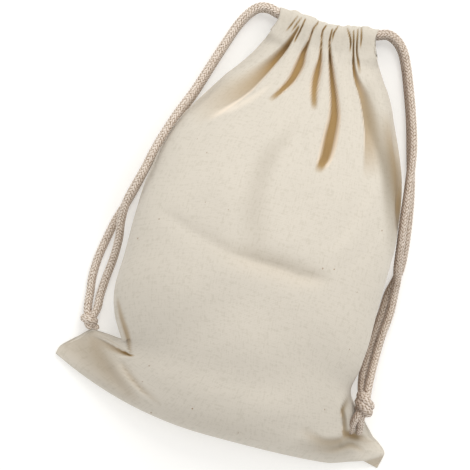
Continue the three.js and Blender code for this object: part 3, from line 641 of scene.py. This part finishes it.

# Painted light and painted shade in the cloth's colour:
# Soft areas where the photo's cloth is lighter or greyer than its shape alone makes it: place, reach
# to the left and to the right, and how strong the tone is.
TONES = {
    "light below the middle crease": [
        [50, 125.4, 1, 7, 0], [37.8, 124.6, 1.6, 10, 0.12], [15.2, 125.4, 1.6, 13, 0.14],
        [-7.4, 125.8, 1.6, 13, 0.12], [-23.9, 127.4, 1.6, 10, 0.05], [-34, 131, 1.6, 8, 0]],
    "light below the shoulder fold": [
        [-22, 252, 2, 3, 0], [-31, 240, 3, 4, 0.3], [-42, 229, 4, 4, 0.4], [-52, 221.5, 5, 4, 0.3],
        [-62, 215, 6, 4, 0]],
    "shade of the belly's dent": [
        [2.5, 232, 6, 5, 0], [-4, 216, 9, 7, 0.1], [-10.7, 201.4, 12, 10, 0.16],
        [-13.1, 186.4, 13, 11, 0.16], [-12.9, 172.2, 14, 12, 0.15], [-11.3, 158.4, 14, 14, 0.14],
        [-5.5, 143, 14, 16, 0.1], [0, 130, 10, 10, 0]],
    "shade above the middle crease": [
        [52, 129, 6, 1, 0], [37.8, 128.4, 9, 1.4, 0.14], [15.2, 129, 12, 1.4, 0.2],
        [-7.4, 129.4, 12, 1.4, 0.18], [-23.9, 131.2, 10, 1.4, 0.08], [-47.1, 137.2, 10, 1.4, 0.08],
        [-58.7, 140.8, 10, 1.4, 0.07], [-74, 146, 8, 1.4, 0]],
    "shade of the corner": [
        [-124, 30, 16, 16, 0.1], [-106, 35, 16, 20, 0.42], [-90, 26, 16, 20, 0.46],
        [-70, 12, 14, 18, 0.3], [-50, 4, 12, 16, 0.16], [-20, 3, 10, 18, 0.14], [10, 6, 10, 18, 0.12],
        [50, 10, 10, 14, 0]],
    "shade of the right panel": [
        [40, 272, 3, 8, 0], [43, 260, 5, 10, 0.26], [48.5, 246, 7, 12, 0.4], [57, 232, 5, 12, 0.46],
        [67, 216, 6, 14, 0.62], [77, 194, 8, 15, 0.52], [86, 172, 9, 12, 0.3], [92, 150, 6, 6, 0]],
    "shade of the lower right": [
        [56, 10, 8, 8, 0], [72, 13.5, 12, 9, 0.42], [86, 17, 15, 9, 0.72], [96, 21, 13, 9, 0.72],
        [106, 22.5, 9, 7, 0.34], [118, 22, 6, 6, 0]],
    "shade beside the right knot": [
        [87, 56, 2, 4, 0], [84.6, 47, 2, 6, 0.3], [84.8, 40, 2, 6, 0.4], [89, 31, 2, 6, 0.4],
        [92, 25, 2, 6, 0.2]],
    "shade of the casing": [
        [-33, 298, 12, 12, 0.18], [4, 294, 12, 12, 0.18], [42, 300, 12, 12, 0.18]],
}


# How far beyond its route a crease is worked out and into how many steps each row of it is divided,
# how wide the roll beside it is in reaches, and what brings the painted rim highlight's greatest value
# to about 1.
CREASE_MARGIN = 40
CREASE_STEPS = 8
ROLL_WIDTH = 2.4
RIM_SCALE = 6.7
RIM_DEPTHS = (1.2, 4.4)
SHARPEST_WALL = 0.01


def crease_depth(x, y, crease):
    """How deep one crease presses the cloth in at each point of the plan, how strong the painted warm
    shade in it is there, and how bright the painted highlight on its rims is.

    The rows are joined by a smooth curve. Within its reach on either side the depth stays whole over
    the floor and falls by a smooth step over the wall, and beyond it the cloth rolls up by a low
    half wave. A wall of 0 falls with the square of the distance left, steepest at the line itself.
    A rim's painted highlight is the share of the depth times the square of the share left over, so it
    is brightest at a third of the depth. Soft, sharp and shallow creases have none.
    """
    left_wall, right_wall, roll, rows = crease
    table = np.array(rows, float)
    at = np.linspace(0, len(table) - 1, CREASE_STEPS * (len(table) - 1) + 1)
    px, py, left, right, depth, warm = (through(table[:, i], at) for i in range(6))
    near = ((x > px.min() - CREASE_MARGIN) & (x < px.max() + CREASE_MARGIN)
            & (y > py.min() - CREASE_MARGIN) & (y < py.max() + CREASE_MARGIN))
    xs, ys = x[near], y[near]
    best, found, side = np.full(xs.shape, np.inf), np.zeros(xs.shape), np.zeros(xs.shape)
    for i in range(len(px) - 1):
        dx, dy = px[i + 1] - px[i], py[i + 1] - py[i]
        t = np.clip(((xs - px[i]) * dx + (ys - py[i]) * dy) / (dx * dx + dy * dy), 0, 1)
        away = np.hypot(xs - px[i] - t * dx, ys - py[i] - t * dy)
        nearer = away < best
        best = np.where(nearer, away, best)
        found = np.where(nearer, i + t, found)
        side = np.where(nearer, (xs - px[i]) * dy - (ys - py[i]) * dx, side)
    numbers = np.arange(len(px))
    to_left = side > 0
    left, right, depth, warm = (np.interp(found, numbers, column) for column in (left, right, depth, warm))
    reach = np.where(to_left, left, right)
    wall = np.where(to_left, left_wall, right_wall)
    share = best / np.maximum(reach, 0.1)
    soft = 1 - ease(share, 1 - np.maximum(wall, SHARPEST_WALL), 1)
    inside = np.where(wall > 0, soft, (1 - np.minimum(share, 1)) ** 2)
    rolled = roll * np.sin(np.pi * np.clip((share - 1) / ROLL_WIDTH, 0, 1)) ** 2
    has_rim = ((wall > 0) & (wall < 0.8)) * ease(depth, *RIM_DEPTHS)
    pressed, warm_shade, painted_rim_light = np.zeros(x.shape), np.zeros(x.shape), np.zeros(x.shape)
    pressed[near] = depth * (inside - rolled)
    warm_shade[near] = np.clip(warm, 0, 2) * inside
    painted_rim_light[near] = RIM_SCALE * inside * (1 - inside) ** 2 * has_rim
    return pressed, warm_shade, painted_rim_light


def front_folds(x, y):
    """All creases and tones of the front: depth, painted warm shade, painted light and painted shade.

    Depths add up. Warmths up to 1, lights and shades cover each other as washes of paint do, each
    with its share of what the others leave. Of warmths above 1 and of rims the strongest holds.
    """
    pressed, warm_shade, darkest, light, shade = (np.zeros(x.shape) for _ in range(5))
    for crease in CREASES.values():
        depth, warm, painted_rim_light = crease_depth(x, y, crease)
        pressed += depth
        warm_shade = 1 - (1 - warm_shade) * (1 - np.minimum(warm, 1))
        darkest = np.maximum(darkest, warm - 1)
        light = np.maximum(light, painted_rim_light)
    for name, rows in TONES.items():
        tone = crease_depth(x, y, (1, 1, 0, [[*row[:4], 0, row[4]] for row in rows]))[1]
        if name.startswith("light"):
            light = 1 - (1 - light) * (1 - tone)
        else:
            shade = 1 - (1 - shade) * (1 - tone)
    return pressed, warm_shade + darkest, light, shade


def ripples(x, y, seed, count, shortest, longest):
    """Uneven cloth: a sum of waves of random direction, length and place, on a scale of about 1."""
    random = np.random.default_rng(seed)
    total = np.zeros(x.shape)
    for _ in range(count):
        wave = random.uniform(shortest, longest)
        turn, start = random.uniform(0, 2 * np.pi, 2)
        total += np.sin(2 * np.pi * (x * np.cos(turn) + y * np.sin(turn)) / wave + start) * wave / longest
    return total / np.sqrt(count)


# Where the fine gathers below the casing set in: along the bag, and at the neck's left and right.
FINE_GATHERS_UP, FINE_GATHERS_LEFT, FINE_GATHERS_RIGHT = (262, 276), (-32, -24), (30, 38)


def unevenness(x, y, up, inward, seed):
    """How far the loose cloth stands proud of its smooth shape.

    Wide and small ripples lie all over it, longer ones along the bag are gathered in the casing, and
    fine ones just below it. The seed is the casing's, so that the front and the back differ.
    """
    below_casing = (ease(up, *FINE_GATHERS_UP) * ease(x, *FINE_GATHERS_LEFT)
                    * (1 - ease(x, *FINE_GATHERS_RIGHT)))
    on_casing = ease(up, STITCH_LINE - 14, STITCH_LINE + 4) * (1 - inward)
    gathered = (0.3 * ripples(x, 0.12 * y, seed=8, count=16, shortest=3.2, longest=5.5) * below_casing
                + 0.75 * ripples(x, 0.1 * y, seed, count=9, shortest=7, longest=14) * on_casing)
    return (0.75 * ripples(x, y, seed=5, count=14, shortest=22, longest=60)
            + 0.1 * ripples(x, y, seed=6, count=20, shortest=6, longest=14) + gathered)


# The back's own gathers fan out from the casing. They begin about this far up, uneven by the second
# number, are whole at the third, and from the fourth on the casing holds them.
BACK_GATHERS = 9
BACK_GATHER_DEPTH = 15.0
GATHERS_BEGIN, GATHERS_BEGIN_VARY, GATHERS_WHOLE, GATHERS_HELD = 205, 22, 268, 270

# The right corner's tip is turned down along a line from "CORNER_TURN" on, at a slope across it.
CORNER_TURN = np.array([108.6, 10.3])
CORNER_TURN_ALONG = np.array([0.855, 0.519])
CORNER_TURN_SLOPE = 1.1
# The turned tip's underside gets painted warm shade of this strength.
CORNER_TURN_PAINTED_SHADE = 0.32
CORNER_TURN_LIFT = 3.0
CORNER_TURN_REACH = 16.0
CORNER_TIP = 12.0


def back_gathers(x, up):
    """How far the back is pushed in by its gathers.

    They are waves across the mouth, spread with the bag's width, uneven in height and fading with
    the distance from the casing.
    """
    left, right = section("left", up), section("right", up)
    share = (x - left) / (right - left)
    wave = np.sin(np.pi * BACK_GATHERS * (share + 0.03 * np.sin(9 * share)))
    uneven = 0.7 + 0.3 * np.sin(5.2 * share * np.pi + 1)
    reach = ease(up, GATHERS_BEGIN + GATHERS_BEGIN_VARY * np.sin(11 * share + 2), GATHERS_WHOLE)
    held = 1 - 0.9 * ease(up, GATHERS_HELD, STITCH_LINE)
    return BACK_GATHER_DEPTH * np.clip(wave, 0, 1) ** 1.5 * uneven * reach * held


def turned_corner(x, y):
    """How far the right corner's turned tip lies below the cloth there, and where its underside is.

    The cloth rises by a smooth step to the line along which it is turned, and falls beyond it.
    """
    dx, dy = x - CORNER_TURN[0], y - CORNER_TURN[1]
    beyond = dx * CORNER_TURN_ALONG[1] - dy * CORNER_TURN_ALONG[0]
    near = ease(x, CORNER_TURN[0] - CORNER_TIP, CORNER_TURN[0])
    rise = CORNER_TURN_LIFT * ease(beyond, -CORNER_TURN_REACH, 0)
    return (CORNER_TURN_SLOPE * np.clip(beyond, 0, CORNER_TIP) - rise) * near, ease(beyond, 0, 1.2) * near


# How finely the cloth is divided: the front has twice the columns of the back, and the same rows.
# Columns crowd at the seams, and rows draw closer towards the casing.
BACK_COLUMNS = 92
FRONT_COLUMNS = 2 * BACK_COLUMNS
EVEN_COLUMNS, CROWDED_COLUMNS = 0.15, 0.85
BODY_ROWS = 150
ROUNDED_ROWS = 30
CASING_ROWS = 26
ROW_CROWDING = 0.25

# Where in the casing's section its outside ends and where its cloth has turned back inside, and how
# far its ends hang below its middle.
CASING_OUTSIDE_END = (4.2, 5.4)
CASING_TURNS_IN = (7.2, 9.5)
CASING_END_DROP = 0.07

# The limits of a crease: the bag's thinnest place at its corners, which end this far up, and how far
# cloth goes in and stands out on the casing and below it.
THINNEST_BAG = 2.4
CORNERS_END = (55, 75)
DEEPEST_ELSEWHERE = 99
CASING_PRESS = 1.8
FRONT_PRESS, BACK_PRESS = 12, 22
CASING_RISE, BODY_RISE = 1.2, 9


def cloth_rows():
    """The cloth's rows, from the bottom fold to the stitch line, over the casing and back inside it.

    For each it gives the place along the bag, how far the cloth has turned up from the fold, how
    far it stands out, how far it has turned inside, and the place in the casing's section. Rows
    crowd at the fold like the points of a quarter circle.
    """
    rounded = np.arange(1, ROUNDED_ROWS + 1) / ROUNDED_ROWS
    straight = np.linspace(0, 1, BODY_ROWS - ROUNDED_ROWS + 1)[1:]
    crowded = (1 + ROW_CROWDING) * straight - ROW_CROWDING * straight ** 2
    place = np.linspace(0, len(CASING_SECTION) - 1, CASING_ROWS + 1)[1:]
    up = np.concatenate([[0], BOTTOM_ROUNDING * (1 - np.cos(np.pi * rounded / 2)),
                         BOTTOM_ROUNDING + (STITCH_LINE - BOTTOM_ROUNDING) * crowded,
                         STITCH_LINE + through(CASING_SECTION[:, 0], place)])
    turned = np.concatenate([[0], np.sin(np.pi * rounded / 2), np.ones(len(straight) + CASING_ROWS)])
    below = np.zeros(BODY_ROWS + 1)
    stand = np.concatenate([below, through(CASING_SECTION[:, 1], place)])
    inward = np.concatenate([below, ease(place, *CASING_TURNS_IN)])
    return up, turned, stand, inward, np.concatenate([below, place])


def panel(is_front, columns):
    """One side of the bag as a grid of points, with its place on the flat cloth and its painted light
    and shade.

    Columns crowd towards the seams like the points of a circle. From its smooth place each point is
    moved out by the cloth's unevenness and in by creases or gathers: outwards from the surface where
    that is steep, and straight up where it is nearly level.
    """
    side = 1 if is_front else -1
    share = np.linspace(-1, 1, columns + 1)
    across = EVEN_COLUMNS * share + CROWDED_COLUMNS * np.sin(np.pi * share / 2)
    up, *by_row = cloth_rows()
    a, u = np.meshgrid(across, up)
    turned, stand, inward, casing_place = (np.broadcast_to(v[:, None], a.shape) for v in by_row)
    u = u - (u > STITCH_LINE) * CASING_END_DROP * (u - STITCH_LINE) * np.abs(a) ** 6
    x, y = plan(a, u)
    front, back = heights(a, np.minimum(u, STITCH_LINE), turned)
    z = front + stand if is_front else np.maximum(back - stand, 0)
    points = np.stack([x, y, z], axis=-1)
    outward = np.cross(np.gradient(points, axis=1), np.gradient(points, axis=0))
    outward /= np.maximum(np.linalg.norm(outward, axis=-1, keepdims=True), 1e-9)
    outward *= side
    fall, underside = turned_corner(x, y)
    warm_shade, light, shade = np.zeros(x.shape), np.zeros(x.shape), np.zeros(x.shape)
    if is_front:
        pressed, warm_shade, light, shade = front_folds(x, y)
        low = 1 - ease(u, *CORNERS_END)
        pressed = np.minimum(pressed, np.maximum(front - back - THINNEST_BAG, 0) * low
                             + DEEPEST_ELSEWHERE * (1 - low))
        outside = turned * (1 - ease(casing_place, *CASING_OUTSIDE_END))
        warm_shade, light, shade = warm_shade * outside, light * outside, shade * outside
    else:
        pressed = back_gathers(x, u)
    # Painted shade on the right corner's turned-down underside.
    warm_shade = np.maximum(warm_shade, CORNER_TURN_PAINTED_SHADE * underside)
    seam_room = ease(np.sqrt(np.clip(1 - a ** 2, 0, 1)), 0, 0.12)
    shift = (unevenness(x, y, u, inward, seed=9 if is_front else 10) - pressed) * seam_room * turned
    deepest = CASING_PRESS + (FRONT_PRESS if is_front else BACK_PRESS) * (
        1 - ease(u, STITCH_LINE - 8, STITCH_LINE + 1))
    shift = np.clip(shift, -deepest, CASING_RISE + BODY_RISE * (1 - ease(u, STITCH_LINE - 2, STITCH_LINE)))
    shift *= 1 - 2 * inward
    upright = ease(outward[..., 2], 0.35, 0.65) if is_front else np.zeros(a.shape)
    outward[..., 0] *= 1 - upright
    outward[..., 1] *= 1 - upright
    outward[..., 2] += (1 - outward[..., 2]) * upright
    points = points + outward * shift[..., None]
    # No cloth goes below the surface, and the front stays its own thickness above the back.
    down = np.maximum(fall, 0)
    if is_front:
        lowest = np.maximum(back - down, 0) + CLOTH * np.minimum(6 * turned, 1)
        points[..., 2] = np.maximum(points[..., 2] - fall, lowest)
    else:
        points[..., 2] = np.maximum(points[..., 2] - down, 0)
    flat_up = np.concatenate([[0], np.cumsum(np.hypot(np.diff(up), np.diff(stand[:, 0])))])
    flat = np.stack([a * CLOTH_WIDTH / 2, np.broadcast_to(side * flat_up[:, None], a.shape)], axis=-1)
    return points, flat, {"painted_warm_shade": warm_shade, "fold_light": light, "fold_shade": shade}


# Both sides share the points of the bottom fold and of the side seams up to the slits.
front_points, front_flat, front_tints = panel(True, FRONT_COLUMNS)
back_points, back_flat, back_tints = panel(False, BACK_COLUMNS)
rows = len(front_points)
slit_row = int(np.searchsorted(front_flat[:, 0, 1], SLIT_FOOT))
front_ids = np.arange(rows * (FRONT_COLUMNS + 1)).reshape(rows, -1)
back_ids = front_ids.size + np.arange(rows * (BACK_COLUMNS + 1)).reshape(rows, -1)
back_ids[0] = front_ids[0, ::2]
back_ids[:slit_row, [0, -1]] = front_ids[:slit_row, [0, -1]]


def quads(ids, flipped):
    """The four corners of each cell of a grid of point numbers."""
    corners = [ids[:-1, :-1], ids[:-1, 1:], ids[1:, 1:], ids[1:, :-1]]
    return np.stack(corners[::-1] if flipped else corners, axis=-1).reshape(-1, 4)


# The back's first row meets every point of the front's, so its cells have five corners.
fold_cells = np.stack([back_ids[1, :-1], back_ids[1, 1:], front_ids[0, 2::2], front_ids[0, 1::2],
                       front_ids[0, :-1:2]], axis=-1)
all_points = np.vstack([front_points.reshape(-1, 3), back_points.reshape(-1, 3)])
all_flat = np.vstack([front_flat.reshape(-1, 2), back_flat.reshape(-1, 2)])
square_cells = np.vstack([quads(front_ids, False), quads(back_ids[1:], True)])
corners = np.concatenate([square_cells.ravel(), fold_cells.ravel()])
used, numbered = np.unique(corners, return_inverse=True)
squares = numbered[:square_cells.size].reshape(-1, 4)
fives = numbered[square_cells.size:].reshape(-1, 5)
body = mesh_piece("calico_bag", all_points[used], [*squares.tolist(), *fives.tolist()])
uv_map = body.data.uv_layers.new(name="flat_cloth")
uv_map.data.foreach_set("uv", (all_flat[corners] * MM).ravel().astype(np.float32))
for tint in front_tints:
    store(body, tint, np.concatenate([front_tints[tint].ravel(), back_tints[tint].ravel()])[used])
thickness = body.modifiers.new("cloth_thickness", "SOLIDIFY")
thickness.thickness = CLOTH * MM
thickness.offset = -1

# Calico from unbleached yarn: matt, cream, with yarns of uneven thickness, brown seed flecks, and a
# painted warm brown shade in the folds, where light is caught between them. Its threads lie 0.45 mm
# apart, and are drawn THREAD_PITCH apart here and up to 0.5 mm astray, because the real ones are too
# fine to show.
THREAD_PITCH = 1.15
cloth_finish, tree, shader = material("calico", {
    "Roughness": 0.95, "Sheen Weight": 0.1, "Sheen Roughness": 0.5})
flat_place = node(tree, "UVMap", {"uv_map": "flat_cloth"}).outputs["UV"]
warp = node(tree, "TexNoise", inputs={"Scale": 160.0, "Detail": 2.0}, links={"Vector": flat_place})
drift = node(tree, "VectorMath", {"operation": "SCALE"}, {"Scale": 0.0009},
             {"Vector": warp.outputs["Color"]})
threads = node(tree, "VectorMath", {"operation": "ADD"}, links={0: flat_place, 1: drift})
split = node(tree, "SeparateXYZ", links={"Vector": threads})
waves = []
for axis in ("X", "Y"):
    turned_by = node(tree, "Math", {"operation": "MULTIPLY"},
                     {1: math.pi / (THREAD_PITCH * MM)}, {0: split.outputs[axis]})
    waves.append(node(tree, "Math", {"operation": "SINE"}, links={0: turned_by}))
crossing = node(tree, "Math", {"operation": "MULTIPLY"}, links={0: waves[0], 1: waves[1]})
weave = node(tree, "Math", {"operation": "ABSOLUTE"}, links={0: crossing})

# Uneven yarns show as streaks along the threads, about 9 mm long and 1.3 mm wide, one set for each
# direction, and the cloth is mottled in patches of 2 to 3 mm.
streaks = []
for stretch in ((800.0, 110.0, 1.0), (110.0, 800.0, 1.0)):
    drawn = node(tree, "Mapping", inputs={"Scale": stretch}, links={"Vector": flat_place})
    streaks.append(node(tree, "TexNoise", inputs={"Scale": 1.0, "Detail": 3.0},
                        links={"Vector": drawn}))
uneven_yarn = node(tree, "Math", {"operation": "ADD"}, links={0: streaks[0], 1: streaks[1]})
patches = node(tree, "TexNoise", inputs={"Scale": 380.0, "Detail": 3.0}, links={"Vector": flat_place})
patchy = node(tree, "MapRange", inputs={"To Min": -0.5, "To Max": 0.5}, links={"Value": patches})
tone_level = node(tree, "Math", {"operation": "ADD"}, links={0: uneven_yarn, 1: patchy})
tone = node(tree, "ValToRGB", links={"Fac": tone_level})
tone.color_ramp.elements[0].position = 0.75
tone.color_ramp.elements[0].color = linear("cdc6b9")
tone.color_ramp.elements[1].position = 1.25
tone.color_ramp.elements[1].color = linear("d5cec2")

# Seed flecks: the small cores of scattered cells 8 mm wide, in brown, and few of them large.
cells = node(tree, "TexVoronoi", {"feature": "F1"}, {"Scale": 130.0, "Randomness": 1.0},
             {"Vector": flat_place})
kept = node(tree, "SeparateColor", links={"Color": cells.outputs["Color"]})
size_of_fleck = node(tree, "MapRange",
                     inputs={"From Min": 0.8, "From Max": 1.0, "To Min": 0.0, "To Max": 0.095},
                     links={"Value": kept})
is_fleck = node(tree, "Math", {"operation": "LESS_THAN"},
                links={0: cells.outputs["Distance"], 1: size_of_fleck})
fleck_sum = node(tree, "Math", {"operation": "MULTIPLY"}, {1: 0.7}, {0: is_fleck})

# The three largest seed specks of the photo: place on the flat cloth and radius, in millimetres.
LARGE_SPECKS = [(-25.0, 16.4, 0.6), (72.2, 137.5, 0.5), (108.0, 172.5, 0.5)]
for across_cloth, along_cloth, radius in LARGE_SPECKS:
    away = node(tree, "VectorMath", {"operation": "DISTANCE"},
                {1: (across_cloth * MM, along_cloth * MM, 0)}, {0: flat_place})
    speck = node(tree, "Math", {"operation": "LESS_THAN"}, {1: radius * MM}, {0: away.outputs["Value"]})
    fleck_sum = node(tree, "Math", {"operation": "MAXIMUM"}, links={0: fleck_sum, 1: speck})
flecked = node(tree, "Mix", {"data_type": "RGBA"}, {MIX_ABOVE: linear("9c8064")},
               {MIX_SHARE: fleck_sum, MIX_BELOW: tone})

# Painted shade and light of the folds: a warm tan shade up to a value of 1 and dark brown above it,
# then the tones' painted shade and the tones' and rims' painted light.
warm_shade = node(tree, "Attribute", {"attribute_name": "painted_warm_shade"}).outputs["Fac"]
above_one = node(tree, "Math", {"operation": "SUBTRACT", "use_clamp": True}, {1: 1.0}, {0: warm_shade})
below = flecked.outputs[MIX_RESULT]
for share, colour in [(warm_shade, "a28659"), (above_one, "5e4630")]:
    below = node(tree, "Mix", {"data_type": "RGBA"}, {MIX_ABOVE: linear(colour)},
                 {MIX_SHARE: share, MIX_BELOW: below}).outputs[MIX_RESULT]
for attribute, colour, strength in [("fold_shade", "7d6f58", 1.0), ("fold_light", "fff0dd", 0.75)]:
    stored = node(tree, "Attribute", {"attribute_name": attribute}).outputs["Fac"]
    share = node(tree, "Math", {"operation": "MULTIPLY"}, {1: strength}, {0: stored})
    below = node(tree, "Mix", {"data_type": "RGBA"}, {MIX_ABOVE: linear(colour)},
                 {MIX_SHARE: share, MIX_BELOW: below}).outputs[MIX_RESULT]
tree.links.new(below, shader.inputs["Base Color"])

surface_height = node(tree, "Math", {"operation": "ADD"}, links={0: weave, 1: uneven_yarn})
weave_bump = node(tree, "Bump", inputs={"Strength": 0.2, "Distance": 0.0003},
                  links={"Height": surface_height})
tree.links.new(weave_bump.outputs["Normal"], shader.inputs["Normal"])
body.data.materials.append(cloth_finish)
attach(body, "root")
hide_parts("bag_body")
